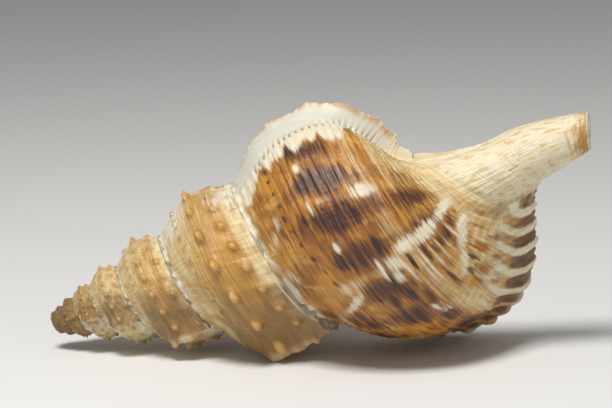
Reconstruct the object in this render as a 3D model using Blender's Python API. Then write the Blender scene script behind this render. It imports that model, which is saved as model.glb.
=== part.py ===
"""A frog shell: one natural piece, grown as a tall coil that ends in a flared lip and a drawn-out canal.

The shell is made round its own axis, z running from the worn apex to the end of the canal, then laid
down as it rests. A place on its surface is given by two numbers: the turn, counted along the coil with 0
where the last whorl passes its top, and the place across the whorl, from 0 at the seam above it to 1 at
the seam below it. On the last whorl that second number goes on to 2 at the neck and 3 at the canal's end.
"""
import math

import bmesh
import bpy
import numpy as np
from mathutils.geometry import tessellate_polygon

# Growth of the coil, in metres and per turn
SHOULDER_RADIUS = 0.0296
SHOULDER_HEIGHT = 0.0764
WIDENING = 1.455
LENGTHENING = 1.65
FIRST_TURN = -7.0
LIP_TURN = 0.603
NECK_END = 0.1404
CANAL_END = 0.1500
CANAL_END_SLANT = 0.0012
NECK_PLACE = 1.8

# The worn apex, drawn out a little past the law of growth
APEX_REACH = 0.0033
APEX_SWELL = 0.0011
APEX_FADE = 0.0100
APEX_CAP = 0.0012

# Outline across a whorl: place, then distance along the axis and from it, as shares of the shoulder's
PLACES = (0.0, 0.12, 0.28, 0.44, 0.60, 0.74, 0.87, 1.0, 1.15, 1.32, 1.50, 1.66, NECK_PLACE)
SPIRE_OUTLINE = (
    (0.745, 0.64), (0.80, 0.75), (0.875, 0.89), (0.94, 0.975), (1.0, 1.0), (1.075, 0.985),
    (1.16, 0.955), (0.745 * LENGTHENING, 0.64 * WIDENING), (1.265, 0.85), (1.295, 0.72),
    (1.32, 0.58), (1.345, 0.47), (1.385, 0.39),
)
BODY_OUTLINE = (
    (0.745, 0.64), (0.80, 0.76), (0.869, 0.90), (0.935, 0.97), (1.0, 1.0), (1.065, 0.985),
    (1.12, 0.94), (1.165, 0.865), (1.205, 0.76), (1.24, 0.63), (1.27, 0.50), (1.305, 0.41),
    (1.36, 0.335),
)
LIP_OUTLINE = (
    (0.745, 0.64), (0.80, 0.76), (0.869, 0.90), (0.935, 0.97), (1.0, 1.0), (1.06, 0.985),
    (1.11, 0.94), (1.15, 0.86), (1.185, 0.75), (1.215, 0.60), (1.238, 0.45), (1.262, 0.32),
    (1.30, 0.225),
)
BODY_BLEND = (-0.42, 0.08)
LIP_BLEND = (0.08, 0.60)
BELLY_START = (0.10, 0.40)
BELLY_STOP = (0.50, 0.60)
BELLY_DROP = 0.05

# Canal: distance along the axis, radius, and how far its centre bends to one side
CANAL = (
    (0.078, 0.0094, 0.0), (0.099, 0.0086, 0.0), (0.109, 0.0079, 0.0), (0.117, 0.0074, 0.0005),
    (0.126, 0.0076, 0.0018), (0.1323, 0.0076, 0.0029), (0.1412, 0.0064, 0.0036), (0.150, 0.0047, 0.0040),
)

# Old lips left on the coil: turn of the crest and its height as a share of the shoulder's radius
OLD_LIPS = (
    (-4.74, 0.12), (-4.225, 0.12), (-3.706, 0.13), (-3.18, 0.13), (-2.658, 0.15), (-2.135, 0.15),
    (-1.60, 0.16), (-1.065, 0.21), (-0.545, 0.17),
)
OLD_LIP_RISE = 0.05
OLD_LIP_FALL = 0.016
OLD_LIP_ACROSS = ((0.0, 0.0), (0.1, 0.2), (0.3, 0.55), (0.5, 0.95), (0.7, 1.0), (0.9, 0.85), (1.0, 0.7),
                  (1.2, 0.3), (1.5, 0.0))

# The broad flange half a turn before the lip, and the lip's own flare: place across and height
FLANGE_TURN = 0.014
FLANGE_RISE = 0.05
FLANGE_FALL = 0.006
FLANGE_ACROSS = ((0.0, 0.0), (0.1, 0.03), (0.2, 0.05), (0.4, 0.09), (0.6, 0.12), (0.87, 0.17),
                 (1.1, 0.205), (1.3, 0.215), (1.5, 0.17), (1.75, 0.07), (2.0, 0.0))
FLARE_RISE = 0.07
FLARE_ACROSS = ((0.0, 0.0), (0.12, 0.08), (0.3, 0.17), (0.5, 0.20), (0.7, 0.20), (0.9, 0.17),
                (1.1, 0.13), (1.35, 0.10), (1.6, 0.07), (1.8, 0.02), (2.0, 0.0))

# Rows of nodules: place across, number per turn, height, width across, first turn, last turn
NODULES = (
    (0.50, 18, 0.075, 0.06, -5.5, -0.25), (0.50, 9, 0.040, 0.06, -0.25, 0.35),
    (0.74, 18, 0.045, 0.05, -4.5, -0.35), (0.93, 18, 0.030, 0.05, -4.5, -0.40),
)
NODULE_WIDTH = 0.20
NODULE_FADE = 0.10

# Ribs across the crests, strongest where a crest is this high
RIBS_PER_PLACE = 7.0
RIB_HEIGHT = 0.018
RIB_CREST = 0.15
RIB_LIMIT = 1.5

# The hollow of the last whorl, and the slit along the canal
WALL = 0.0022
CALLUS = 0.0011
CALLUS_EDGE = 0.0006
CALLUS_FADE = 0.15
HOLLOW_TURNS = 1.15
HOLLOW_OVERRUN = 0.025
HOLLOW_CENTRE = (1.0, 0.62)
HOLLOW_FLARE = 0.72
HOLLOW_TAPER = 0.12
HOLLOW_NEAREST = 0.02
HOLLOW_PLACES_END = 1.98
SLIT_HALF_WIDTH = 0.0016
SLIT_MOUTH = 0.0021
SLIT_REACH = 0.014
SLIT_TURN = 0.031
SLIT = ((0.112, 0.0088), (0.121, 0.0048), (0.129, 0.0018), (0.138, 0.0004), (0.1535, 0.0))

# Fineness of the surface
PLACE_STEP = 0.001
COLUMNS_PER_TURN = 90
ROWS_ACROSS = 18
ROWS_BASE = 16
ROWS_NECK = 6
ROWS_CANAL = 4
HOLLOW_COLUMNS = 80
HOLLOW_ROWS = 48
HOLLOW_STEPS = 80
HOLLOW_SAMPLES = 150
SLIT_COLUMNS = 14
SLIT_ROWS = 9
KEPT_SHARE = 0.25

# How the shell lies at rest
LOCATION = (-0.069868, 0.002192, 0.006748)
ROTATION = (0.37822, -1.2241, 2.74185)


def ease(value):
    """A smooth step from 0 to 1."""
    value = np.clip(value, 0.0, 1.0)
    return value * value * (3.0 - 2.0 * value)


def curve(x, knots):
    """A smooth curve through knots whose first column is x."""
    table = np.asarray(knots, float)
    xs = table[:, 0]
    ys = table[:, 1:]
    slope = np.gradient(ys, xs, axis=0)
    x = np.clip(x, xs[0], xs[-1])
    low = np.clip(np.searchsorted(xs, x) - 1, 0, len(xs) - 2)
    step = (xs[low + 1] - xs[low])[..., None]
    t = (x - xs[low])[..., None] / step
    start = (2 * t**3 - 3 * t**2 + 1) * ys[low] + (t**3 - 2 * t**2 + t) * step * slope[low]
    end = (3 * t**2 - 2 * t**3) * ys[low + 1] + (t**3 - t**2) * step * slope[low + 1]
    return start + end


def between(value, limits):
    """A smooth step from 0 at the first limit to 1 at the second."""
    return ease((value - limits[0]) / (limits[1] - limits[0]))


def outline(turn, place):
    """Distance along the axis and from it of the plain whorl."""
    turn, place = np.broadcast_arrays(turn, place)
    spire, body, lip = (
        curve(place, np.column_stack((PLACES, shape))) for shape in (SPIRE_OUTLINE, BODY_OUTLINE, LIP_OUTLINE)
    )
    share = spire + (body - spire) * between(turn, BODY_BLEND)[..., None]
    share = share + (lip - share) * between(turn, LIP_BLEND)[..., None]
    along = SHOULDER_HEIGHT * LENGTHENING**turn * share[..., 0]
    belly = BELLY_DROP * between(turn, BELLY_START) * (1 - between(turn, BELLY_STOP))
    out = SHOULDER_RADIUS * WIDENING**turn * share[..., 1] * (1 - belly)
    # past the base the surface runs down the neck to one ring, then out along the canal
    down = np.clip((place - NECK_PLACE) / (2.0 - NECK_PLACE), 0.0, 1.0)
    neck = along + (NECK_END - along) * down
    canal = neck + (CANAL_END - neck) * np.clip(place - 2.0, 0.0, 1.0)
    start = curve(along, CANAL)[..., 0]
    out = curve(canal, CANAL)[..., 0] + (out - start) * (1 - ease(down * 1.5))
    return canal, out


def step_up(turn, rise, fall):
    """A crest at turn 0 that rises over rise and drops over fall."""
    return np.where(turn < 0, ease((turn + rise) / rise) ** 1.5, 1 - ease(turn / fall))


def flare(turn, place):
    """Height of the lip's flare."""
    return ease((turn - (LIP_TURN - FLARE_RISE)) / FLARE_RISE) ** 1.6 * curve(place, FLARE_ACROSS)[..., 0]


def crests(turn, place):
    """Height of the old lips, the flange and the flared lip."""
    across = curve(place, OLD_LIP_ACROSS)[..., 0]
    height = np.zeros_like(turn)
    for at, tall in OLD_LIPS:
        height = np.maximum(height, tall * step_up(turn - at, OLD_LIP_RISE, OLD_LIP_FALL) * across)
    flange = step_up(turn - FLANGE_TURN, FLANGE_RISE, FLANGE_FALL) * curve(place, FLANGE_ACROSS)[..., 0]
    return np.maximum(height, flange) + flare(turn, place)


def nodules(turn, place):
    """Height of the rows of nodules."""
    height = np.zeros_like(turn)
    for at, count, tall, wide, first, last in NODULES:
        beside = (turn * count) % 1.0 - 0.5
        lump = np.exp(-((beside / NODULE_WIDTH) ** 2)) * np.exp(-(((place - at) / wide) ** 2))
        height += tall * lump * ease((turn - first) / NODULE_FADE) * (1 - ease((turn - last) / NODULE_FADE))
    return height


def worn(along, out):
    """Draws the apex out past the law of growth."""
    fade = np.exp(-along / APEX_FADE)
    return along - APEX_REACH * fade, out + APEX_SWELL * fade


def place_in_space(turn, along, out):
    """Points from the turn and the distances along and from the axis."""
    bend = curve(along, CANAL)[..., 1]
    angle = 2 * math.pi * turn
    return np.stack((out * np.cos(angle) + bend, out * np.sin(angle), along), axis=-1)


def surface(turn, place):
    """Points of the outer surface, with its sculpture."""
    turn, place = np.broadcast_arrays(turn, place)
    along, out = outline(turn, place)
    ahead = outline(turn, place + PLACE_STEP)
    behind = outline(turn, np.maximum(place - PLACE_STEP, 0.0))
    run = ahead[0] - behind[0]
    climb = ahead[1] - behind[1]
    length = np.hypot(run, climb)
    crest = crests(turn, place)
    ribs = RIB_HEIGHT * np.cos(2 * math.pi * place * RIBS_PER_PLACE)
    ribs = ribs * np.clip(crest / RIB_CREST, 0.0, RIB_LIMIT)
    lift = (crest + ribs + nodules(turn, place)) * (1 - between(place, (NECK_PLACE, 2.0)))
    lift = lift * SHOULDER_RADIUS * WIDENING**turn
    along, out = worn(along - climb / length * lift, out + run / length * lift)
    along = along + CANAL_END_SLANT * np.cos(2 * math.pi * turn) * np.clip(place - 2.0, 0.0, 1.0)
    return place_in_space(turn, along, out)


def make_object(name, points, faces):
    """A mesh object from points and faces, its faces turned outward."""
    mesh = bpy.data.meshes.new(name)
    mesh.from_pydata([tuple(point) for point in points], [], faces)
    work = bmesh.new()
    work.from_mesh(mesh)
    bmesh.ops.recalc_face_normals(work, faces=work.faces)
    bmesh.ops.triangulate(work, faces=work.faces)
    for face in work.faces:
        face.smooth = True
    work.to_mesh(mesh)
    work.free()
    made = bpy.data.objects.new(name, mesh)
    bpy.context.scene.collection.objects.link(made)
    return made


def grown_solid():
    """The whole coil as one closed solid, its mouth still filled."""
    steps = int((LIP_TURN - FIRST_TURN) * COLUMNS_PER_TURN)
    turns = LIP_TURN - (steps - np.arange(steps + 1)) / COLUMNS_PER_TURN
    places = np.concatenate((
        np.linspace(0.0, 1.0, ROWS_ACROSS + 1),
        np.linspace(1.0, NECK_PLACE, ROWS_BASE + 1)[1:],
        np.linspace(NECK_PLACE, 2.0, ROWS_NECK + 1)[1:],
        np.linspace(2.0, 3.0, ROWS_CANAL + 1)[1:],
    ))
    neck_row = ROWS_ACROSS + ROWS_BASE + ROWS_NECK
    end_row = neck_row + ROWS_CANAL
    grid = surface(turns[:, None], places[None, :])
    last_turn = steps - COLUMNS_PER_TURN
    points = []
    index = {}

    def corner(column, row):
        """The number of a grid point, seams welded."""
        if row == ROWS_ACROSS and column <= last_turn:
            column, row = column + COLUMNS_PER_TURN, 0
        if row >= neck_row and column == last_turn:
            column = steps
        if (column, row) not in index:
            index[column, row] = len(points)
            points.append(grid[column, row])
        return index[column, row]

    faces = []
    for column in range(steps):
        rows = end_row if column >= last_turn else ROWS_ACROSS
        for row in range(rows):
            faces.append((corner(column, row), corner(column + 1, row),
                          corner(column + 1, row + 1), corner(column, row + 1)))
    # the apex is closed by a low cap
    rim = [corner(column, 0) for column in range(COLUMNS_PER_TURN)]
    rim += [corner(0, row) for row in range(ROWS_ACROSS, 0, -1)]
    centre = np.mean([points[number] for number in rim], axis=0) - (0.0, 0.0, APEX_CAP)
    points.append(centre)
    faces += [(rim[k], rim[(k + 1) % len(rim)], len(points) - 1) for k in range(len(rim))]
    # the canal's end is flat
    rim = [corner(column, end_row) for column in range(last_turn, steps)]
    points.append(np.mean([points[number] for number in rim], axis=0))
    faces += [(rim[k], rim[(k + 1) % len(rim)], len(points) - 1) for k in range(len(rim))]
    # the mouth is filled between the lip and the whorl behind it
    edge = [corner(steps, row) for row in range(neck_row + 1)]
    edge += [corner(last_turn, row) for row in range(neck_row - 1, ROWS_ACROSS, -1)]
    angle = 2 * math.pi * LIP_TURN
    outward = np.array((math.cos(angle), math.sin(angle), 0.0))
    flat = [(points[k][2], points[k] @ outward, 0.0) for k in edge]
    faces += [tuple(edge[k] for k in three) for three in tessellate_polygon([flat])]
    return make_object("shell", points, faces)


def tube_faces(loops, size):
    """Faces of a closed tube whose points come as loops of one size."""
    faces = [tuple(range(size)), tuple(range((loops - 1) * size, loops * size))]
    for first in range(0, (loops - 1) * size, size):
        for row in range(size):
            beside = (row + 1) % size
            faces.append((first + row, first + beside, first + size + beside, first + size + row))
    return faces


def hollow_loop(turn, opened):
    """The hollow's loop at one turn: as far from its centre as the wall and the callus allow."""
    grown = min(turn, LIP_TURN)
    scale = SHOULDER_RADIUS * WIDENING**grown
    neck = np.linspace(NECK_PLACE, HOLLOW_PLACES_END, HOLLOW_SAMPLES)
    outer_places = np.concatenate((np.linspace(0.0, NECK_PLACE, HOLLOW_SAMPLES), neck))
    inner_places = np.concatenate((np.linspace(1.0, NECK_PLACE, HOLLOW_SAMPLES), neck))
    lip = np.full_like(outer_places, grown)
    along, out = outline(lip, outer_places)
    outside = np.column_stack((along, out + HOLLOW_FLARE * flare(lip, outer_places) * scale))
    inside = np.column_stack(outline(np.full_like(inner_places, turn - 1.0), inner_places))
    centre = np.array((SHOULDER_HEIGHT * LENGTHENING**turn * HOLLOW_CENTRE[0], scale * HOLLOW_CENTRE[1]))
    angles = np.linspace(0.0, 2 * math.pi, HOLLOW_ROWS, endpoint=False)
    rays = np.column_stack((np.cos(angles), np.sin(angles)))
    reach = np.linspace(HOLLOW_NEAREST, 1.0, HOLLOW_STEPS) * scale
    trial = centre + rays[:, None, :] * reach[None, :, None]
    to_outside = np.linalg.norm(trial[:, :, None, :] - outside, axis=-1).min(axis=-1)
    to_inside = np.linalg.norm(trial[:, :, None, :] - inside, axis=-1).min(axis=-1)
    callus = CALLUS + (CALLUS_EDGE - CALLUS) * between(turn, (LIP_TURN - CALLUS_FADE, LIP_TURN))
    margin = np.minimum(to_outside - WALL, to_inside - callus)
    row = np.arange(HOLLOW_ROWS)
    stop = np.maximum(np.argmax(margin < 0.0, axis=1), 1)
    before = margin[row, stop - 1]
    after = margin[row, stop]
    length = reach[stop - 1] + (reach[stop] - reach[stop - 1]) * before / (before - after)
    loop = centre + rays * (length * opened)[:, None]
    return place_in_space(np.full(HOLLOW_ROWS, turn), loop[:, 0], loop[:, 1])


def hollow_solid():
    """The hollow of the last whorl, from a narrow start to past the lip."""
    turns = np.linspace(LIP_TURN - HOLLOW_TURNS, LIP_TURN + HOLLOW_OVERRUN, HOLLOW_COLUMNS)
    points = []
    for turn in turns:
        opened = max(math.sqrt(ease((turn - turns[0]) / HOLLOW_TAPER)), HOLLOW_NEAREST)
        points.extend(hollow_loop(turn, opened))
    return make_object("hollow", points, tube_faces(HOLLOW_COLUMNS, HOLLOW_ROWS))


def slit_solid():
    """The open slit that runs along the canal to its end, round at the bottom."""
    along = np.linspace(SLIT[0][0], SLIT[-1][0], SLIT_COLUMNS)
    depth = curve(along, SLIT)[:, 0]
    bend = curve(along, CANAL)[:, 1]
    angle = 2 * math.pi * (LIP_TURN + SLIT_TURN)
    outward = np.array((math.cos(angle), math.sin(angle), 0.0))
    sideways = np.array((-math.sin(angle), math.cos(angle), 0.0))
    around = np.linspace(-0.5 * math.pi, 0.5 * math.pi, SLIT_ROWS)
    across = np.concatenate(([-SLIT_MOUTH], SLIT_HALF_WIDTH * np.sin(around), [SLIT_MOUTH]))
    points = []
    for z, floor, shift in zip(along, depth, bend):
        out = np.concatenate(([SLIT_REACH], floor - SLIT_HALF_WIDTH * np.cos(around), [SLIT_REACH]))
        centre = np.array((shift, 0.0, z))
        points.extend(centre + out[:, None] * outward + across[:, None] * sideways)
    return make_object("slit", points, tube_faces(SLIT_COLUMNS, SLIT_ROWS + 2))


def cut(body, tool):
    """Takes the tool's solid away from the body."""
    tool.hide_render = True
    tool.display_type = "WIRE"
    away = body.modifiers.new(tool.name, "BOOLEAN")
    away.operation = "DIFFERENCE"
    away.solver = "EXACT"
    away.object = tool


for old in list(bpy.data.objects):
    bpy.data.objects.remove(old, do_unlink=True)

shell = grown_solid()
hollow = hollow_solid()
slit = slit_solid()
cut(shell, hollow)
cut(shell, slit)
thinned = shell.modifiers.new("thinned", "DECIMATE")
thinned.ratio = KEPT_SHARE
thinned.use_collapse_triangulate = True

for piece in (shell, hollow, slit):
    piece.rotation_euler = ROTATION
    piece.location = LOCATION

# Old lime of the shell, cream to orange-brown
lime = bpy.data.materials.new("shell_lime")
lime.use_nodes = True
coat = lime.node_tree.nodes["Principled BSDF"]
coat.inputs["Base Color"].default_value = (0.53, 0.33, 0.17, 1.0)
coat.inputs["Roughness"].default_value = 0.45
coat.inputs["Metallic"].default_value = 0.0
shell.data.materials.append(lime)
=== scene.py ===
"""A frog shell lying on a pale floor: one natural piece, grown as a tall coil with a flared lip.

A place on the shell is given by two numbers, as a shell grower would count them: the turn, along the coil,
0 where the last whorl passes its top, and the place across the whorl, 0 at the seam above it and 1 at the
seam below it. On the last whorl that number goes on to 2 at the neck and to 3 at the canal's end.
"""

import math

import bmesh
import bpy
import numpy as np
from mathutils import Euler, Matrix, Vector, kdtree
from mathutils.geometry import tessellate_polygon


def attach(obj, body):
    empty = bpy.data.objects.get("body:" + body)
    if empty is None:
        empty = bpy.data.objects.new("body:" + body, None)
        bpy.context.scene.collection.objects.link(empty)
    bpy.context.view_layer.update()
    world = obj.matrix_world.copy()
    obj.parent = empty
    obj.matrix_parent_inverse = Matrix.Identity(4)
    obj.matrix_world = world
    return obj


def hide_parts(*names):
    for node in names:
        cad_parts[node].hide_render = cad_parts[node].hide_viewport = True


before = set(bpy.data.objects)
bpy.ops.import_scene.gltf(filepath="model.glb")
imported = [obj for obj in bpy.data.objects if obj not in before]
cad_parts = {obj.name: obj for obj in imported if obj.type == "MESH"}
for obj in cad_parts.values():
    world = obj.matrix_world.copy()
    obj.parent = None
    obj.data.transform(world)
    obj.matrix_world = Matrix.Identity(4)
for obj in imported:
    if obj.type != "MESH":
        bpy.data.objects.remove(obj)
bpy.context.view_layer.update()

# The coil of the shell: layered aragonite, laid down at the lip as the animal grew. Each whorl is the
# same outline, wider and longer than the one before, with an old lip left as a thick ridge about twice
# in a turn, rows of nodules between the ridges, and fine cords that run round the coil.
SHOULDER_RADIUS = 0.0296
SHOULDER_HEIGHT = 0.0764
WIDENING = 1.455
LENGTHENING = 1.65
FIRST_TURN = -7.0
LIP_TURN = 0.603
NECK_END = 0.1404
CANAL_END = 0.1500
CANAL_END_SLANT = 0.0012
NECK_PLACE = 1.8
NECK_TAKES_OVER = 1.5
BODY_START = (-0.46, -0.38)
APEX_REACH = 0.0033
APEX_SWELL = 0.0011
APEX_FADE = 0.0100
APEX_CAP = 0.0012

# the places of the outlines' points, each a distance along the axis and from it, as shares of the
# shoulder's
PLACES = (0.0, 0.12, 0.28, 0.44, 0.60, 0.74, 0.87, 1.0, 1.15, 1.32, 1.50, 1.66, NECK_PLACE)
SPIRE_OUTLINE = (
    (0.745, 0.64), (0.80, 0.75), (0.875, 0.89), (0.94, 0.975), (1.0, 1.0), (1.075, 0.985),
    (1.16, 0.955), (0.745 * LENGTHENING, 0.64 * WIDENING), (1.265, 0.85), (1.295, 0.72),
    (1.32, 0.58), (1.345, 0.47), (1.385, 0.39),
)
BODY_OUTLINE = (
    (0.745, 0.64), (0.80, 0.76), (0.869, 0.90), (0.935, 0.97), (1.0, 1.0), (1.065, 0.985),
    (1.12, 0.94), (1.165, 0.865), (1.205, 0.76), (1.24, 0.63), (1.27, 0.50), (1.305, 0.41),
    (1.36, 0.335),
)
LIP_OUTLINE = (
    (0.745, 0.64), (0.80, 0.76), (0.869, 0.90), (0.935, 0.97), (1.0, 1.0), (1.06, 0.985),
    (1.11, 0.94), (1.15, 0.86), (1.185, 0.75), (1.215, 0.60), (1.238, 0.45), (1.262, 0.32),
    (1.30, 0.225),
)
BODY_BLEND = (-0.42, 0.08)
LIP_BLEND = (0.08, 0.60)
BELLY_START = (0.10, 0.40)
BELLY_STOP = (0.50, 0.60)
BELLY_DROP = 0.05

# distance along the axis, radius, and how far the canal's centre bends to one side
CANAL = (
    (0.078, 0.0094, 0.0), (0.099, 0.0086, 0.0), (0.109, 0.0079, 0.0), (0.117, 0.0074, 0.0005),
    (0.126, 0.0076, 0.0018), (0.1323, 0.0076, 0.0029), (0.1412, 0.0064, 0.0036), (0.150, 0.0047, 0.0040),
)

# turn of each old lip's crest, and its height as a share of the shoulder's radius
OLD_LIPS = (
    (-4.74, 0.12), (-4.225, 0.12), (-3.706, 0.13), (-3.18, 0.13), (-2.658, 0.15), (-2.135, 0.15),
    (-1.60, 0.16), (-1.065, 0.21), (-0.545, 0.17),
)
OLD_LIP_RISE = 0.05
OLD_LIP_FALL = 0.016
LIP_SWEEP = 1.5
OLD_LIP_ACROSS = ((0.0, 0.0), (0.1, 0.2), (0.3, 0.55), (0.5, 0.95), (0.7, 1.0), (0.9, 0.85), (1.0, 0.7),
                  (1.2, 0.3), (1.5, 0.0))
FLANGE_TURN = 0.014
FLANGE_RISE = 0.05
FLANGE_FALL = ((0.0, 0.095), (0.18, 0.098), (0.31, 0.086), (0.43, 0.074), (0.60, 0.066), (0.75, 0.053),
               (0.90, 0.040), (1.0, 0.022), (1.15, 0.012), (1.4, 0.008), (2.0, 0.008))
FLANGE_HOLLOW = 2.2
FLANGE_FACE_START = (-0.05, 0.15)
FLANGE_FACE_STOP = (0.80, 0.98)
FLANGE_END = 1.5
FLANGE_ACROSS = ((0.0, 0.0), (0.1, 0.03), (0.2, 0.05), (0.4, 0.08), (0.6, 0.105), (0.87, 0.145),
                 (1.1, 0.180), (1.3, 0.195), (1.5, 0.175), (1.7, 0.130), (1.85, 0.070), (2.0, 0.0))
FLARE_RISE = 0.07
FLARE_SWEEP = 1.6
FLARE_ACROSS = ((0.0, 0.0), (0.12, 0.08), (0.3, 0.17), (0.5, 0.20), (0.7, 0.19), (0.9, 0.15),
                (1.1, 0.095), (1.35, 0.055), (1.6, 0.035), (1.8, 0.01), (2.0, 0.0))

# rows of nodules: place across, number per turn and its offset, height, width along the coil and across,
# first turn, last turn. Each row slopes down across the whorl from one old lip to the next.
NODULES = (
    (0.48, 20.0, 0.30, 0.120, 0.0105, 0.044, -5.5, -1.10),
    (0.48, 16.0, 0.61, 0.130, 0.0115, 0.042, -1.06, -0.20),
    (0.53, 8.55, 0.175, 0.026, 0.0110, 0.032, 0.05, 0.34),
    (0.74, 20.0, 0.05, 0.082, 0.0100, 0.036, -4.5, -1.10),
    (0.71, 22.0, 0.70, 0.082, 0.0095, 0.034, -0.98, -0.42),
    (0.21, 34.0, 0.10, 0.040, 0.0060, 0.028, -3.5, -0.66),
    (0.86, 22.0, 0.40, 0.030, 0.0100, 0.035, -3.5, -0.40),
)
NODULE_SLOPE = 0.16
NODULE_SLOPE_END = 0.1
NODULE_FADE = 0.06

# cords, in number per place and height, and growth lines across them, in number per turn and height
CORDS = ((16.0, 0.0050), (32.0, 0.0022))
CORD_TURNS = (-3.0, -1.4)
GROWTH_LINES = ((37.0, 0.0020), (61.0, 0.0014))
GROWTH_SWAY = 0.4
GROWTH_SWAY_RATE = 5.0
# ribs on the last stretch before the lip, which swell where they run over its crest
RIBS_PER_PLACE = 6.55
RIB_START = 0.21
RIB_NARROWNESS = 2.4
RIB_HEIGHT = 0.017
RIB_TURNS = (0.30, 0.50)
RIB_CREST = 0.15
RIB_LIMIT = 1.5
RIB_SLANT = 0.24
RIB_SLANT_TURNS = (0.40, 0.60)
RIB_SLANT_START = (0.6, 1.0)
RIB_SLANT_STOP = (1.6, 1.9)
LIP_RIBS = 0.35
LIP_RIB_TURNS = (0.44, 0.58)
LIP_POINT = 0.0016
LIP_POINT_FADE = 0.022
LIP_POINT_START = (0.1, 0.4)
LIP_POINT_STOP = (1.6, 1.85)
# blunt points on the older crests, which also wander a little in height
CREST_WANDER = 0.16
CREST_WANDER_PER_PLACE = 9.0
CREST_WANDER_PER_TURN = 2.0
CREST_RIBS = 4.0
CREST_RIB_START = 0.04
CREST_RIB_NARROWNESS = 1.6
CREST_RIB_GAIN = 1.2
# the seams' crust and the wear on the oldest whorls: height, then grains per turn and per place
SEAM_CRUST = 0.0260
SEAM_GRAIN = (70.0, 40.0)
SEAM_WIDTH = 0.05
SEAM_REACH = 1.2
OUT_OF_REACH = 10.0
OLD_ROUGH = 0.050
OLD_GRAIN = (40.0, 7.0)
OLD_TURNS = (-4.2, -2.4)
# small pits where the flange's hollow face meets the whorl
PIT_LENGTH = 0.0075
PIT_DEPTH = 0.040
PITS_PER_PLACE = 19.0
PIT_ROW = 0.92
PIT_START = (0.12, 0.25)
PIT_STOP = (1.3, 1.5)

PLACE_STEP = 0.001
COLUMNS_PER_TURN = 216
ROWS_ACROSS = 80
ROWS_BASE = 56
ROWS_NECK = 44
ROWS_CANAL = 14
FINE_FROM = -1.62
SPIRE_STRIDE = 2
APEX_STRIDE = 4
# where columns crowd together within a turn counted from the lip: place in it, width and how many more
CROWDED = ((0.411, 0.012, 5.0), (0.985, 0.02, 3.0), (0.0, 0.01, 2.0))
CROWD_SAMPLES = 4001
TURNS_BACK = 8
LATTICE_SEED = 7
LATTICE_SIZE = 256


def ease(value):
    """A smooth step from 0 to 1."""
    value = np.clip(value, 0.0, 1.0)
    return value * value * (3.0 - 2.0 * value)


def curve(x, knots):
    """A smooth curve through knots whose first column is x."""
    table = np.asarray(knots, float)
    xs = table[:, 0]
    ys = table[:, 1:]
    slope = np.gradient(ys, xs, axis=0)
    x = np.clip(x, xs[0], xs[-1])
    low = np.clip(np.searchsorted(xs, x) - 1, 0, len(xs) - 2)
    step = (xs[low + 1] - xs[low])[..., None]
    t = (x - xs[low])[..., None] / step
    start = (2 * t**3 - 3 * t**2 + 1) * ys[low] + (t**3 - 2 * t**2 + t) * step * slope[low]
    end = (3 * t**2 - 2 * t**3) * ys[low + 1] + (t**3 - t**2) * step * slope[low + 1]
    return start + end


def between(value, limits):
    """A smooth step from 0 at the first limit to 1 at the second."""
    return ease((value - limits[0]) / (limits[1] - limits[0]))


def bell(distance, width):
    """1 at no distance, falling off smoothly over the width."""
    return np.exp(-((distance / width) ** 2))


def outline(turn, place):
    """Distance along the axis and from it of the plain whorl."""
    turn, place = np.broadcast_arrays(turn, place)
    spire, body, lip = (
        curve(place, np.column_stack((PLACES, shape))) for shape in (SPIRE_OUTLINE, BODY_OUTLINE, LIP_OUTLINE)
    )
    share = spire + (body - spire) * between(turn, BODY_BLEND)[..., None]
    share = share + (lip - share) * between(turn, LIP_BLEND)[..., None]
    along = SHOULDER_HEIGHT * LENGTHENING**turn * share[..., 0]
    belly = BELLY_DROP * between(turn, BELLY_START) * (1 - between(turn, BELLY_STOP))
    out = SHOULDER_RADIUS * WIDENING**turn * share[..., 1] * (1 - belly)
    down = np.clip((place - NECK_PLACE) / (2.0 - NECK_PLACE), 0.0, 1.0)
    neck = along + (NECK_END - along) * down
    canal = neck + (CANAL_END - neck) * np.clip(place - 2.0, 0.0, 1.0)
    start = curve(along, CANAL)[..., 0]
    out = curve(canal, CANAL)[..., 0] + (out - start) * (1 - ease(down * NECK_TAKES_OVER))
    return canal, out


dice = np.random.default_rng(LATTICE_SEED)
LATTICE = dice.random((LATTICE_SIZE, LATTICE_SIZE))


def wander(across, down):
    """Smooth irregular numbers from -1 to 1 over a plane, one unit apart."""
    left, low = np.floor(across).astype(int), np.floor(down).astype(int)
    a, b = ease(across - left), ease(down - low)
    corners = [LATTICE[(left + i) % LATTICE_SIZE, (low + j) % LATTICE_SIZE] for i in (0, 1) for j in (0, 1)]
    start = corners[0] * (1 - b) + corners[1] * b
    end = corners[2] * (1 - b) + corners[3] * b
    return 2 * (start * (1 - a) + end * a) - 1


def cord_line(turn, place):
    """The place, followed along a cord: near the lip the cords slant towards the seam."""
    across = between(place, RIB_SLANT_START) * (1 - between(place, RIB_SLANT_STOP))
    return place + RIB_SLANT * between(turn, RIB_SLANT_TURNS) * across


def waves(count, narrowness):
    """Narrow crests with wide hollows between them, from -0.5 to 1, one to each whole count."""
    swell = 0.5 + 0.5 * np.cos(2 * math.pi * count)
    return 1.5 * swell**narrowness - 0.5


def ribbing(turn, place):
    """The ribs that end at the lip."""
    return waves(cord_line(turn, place) * RIBS_PER_PLACE + RIB_START, RIB_NARROWNESS)


def crest_points(place):
    """The blunt points along the flange and the old lips."""
    return waves(place * CREST_RIBS + CREST_RIB_START, CREST_RIB_NARROWNESS)


def step_up(turn, rise, fall):
    """A crest at turn 0 that rises over rise and drops over fall."""
    return np.where(turn < 0, ease((turn + rise) / rise) ** LIP_SWEEP, 1 - ease(turn / fall))


def flare(turn, place):
    """Height of the lip's flare."""
    rise = ease((turn - (LIP_TURN - FLARE_RISE)) / FLARE_RISE) ** FLARE_SWEEP
    return rise * curve(place, FLARE_ACROSS)[..., 0]


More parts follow.
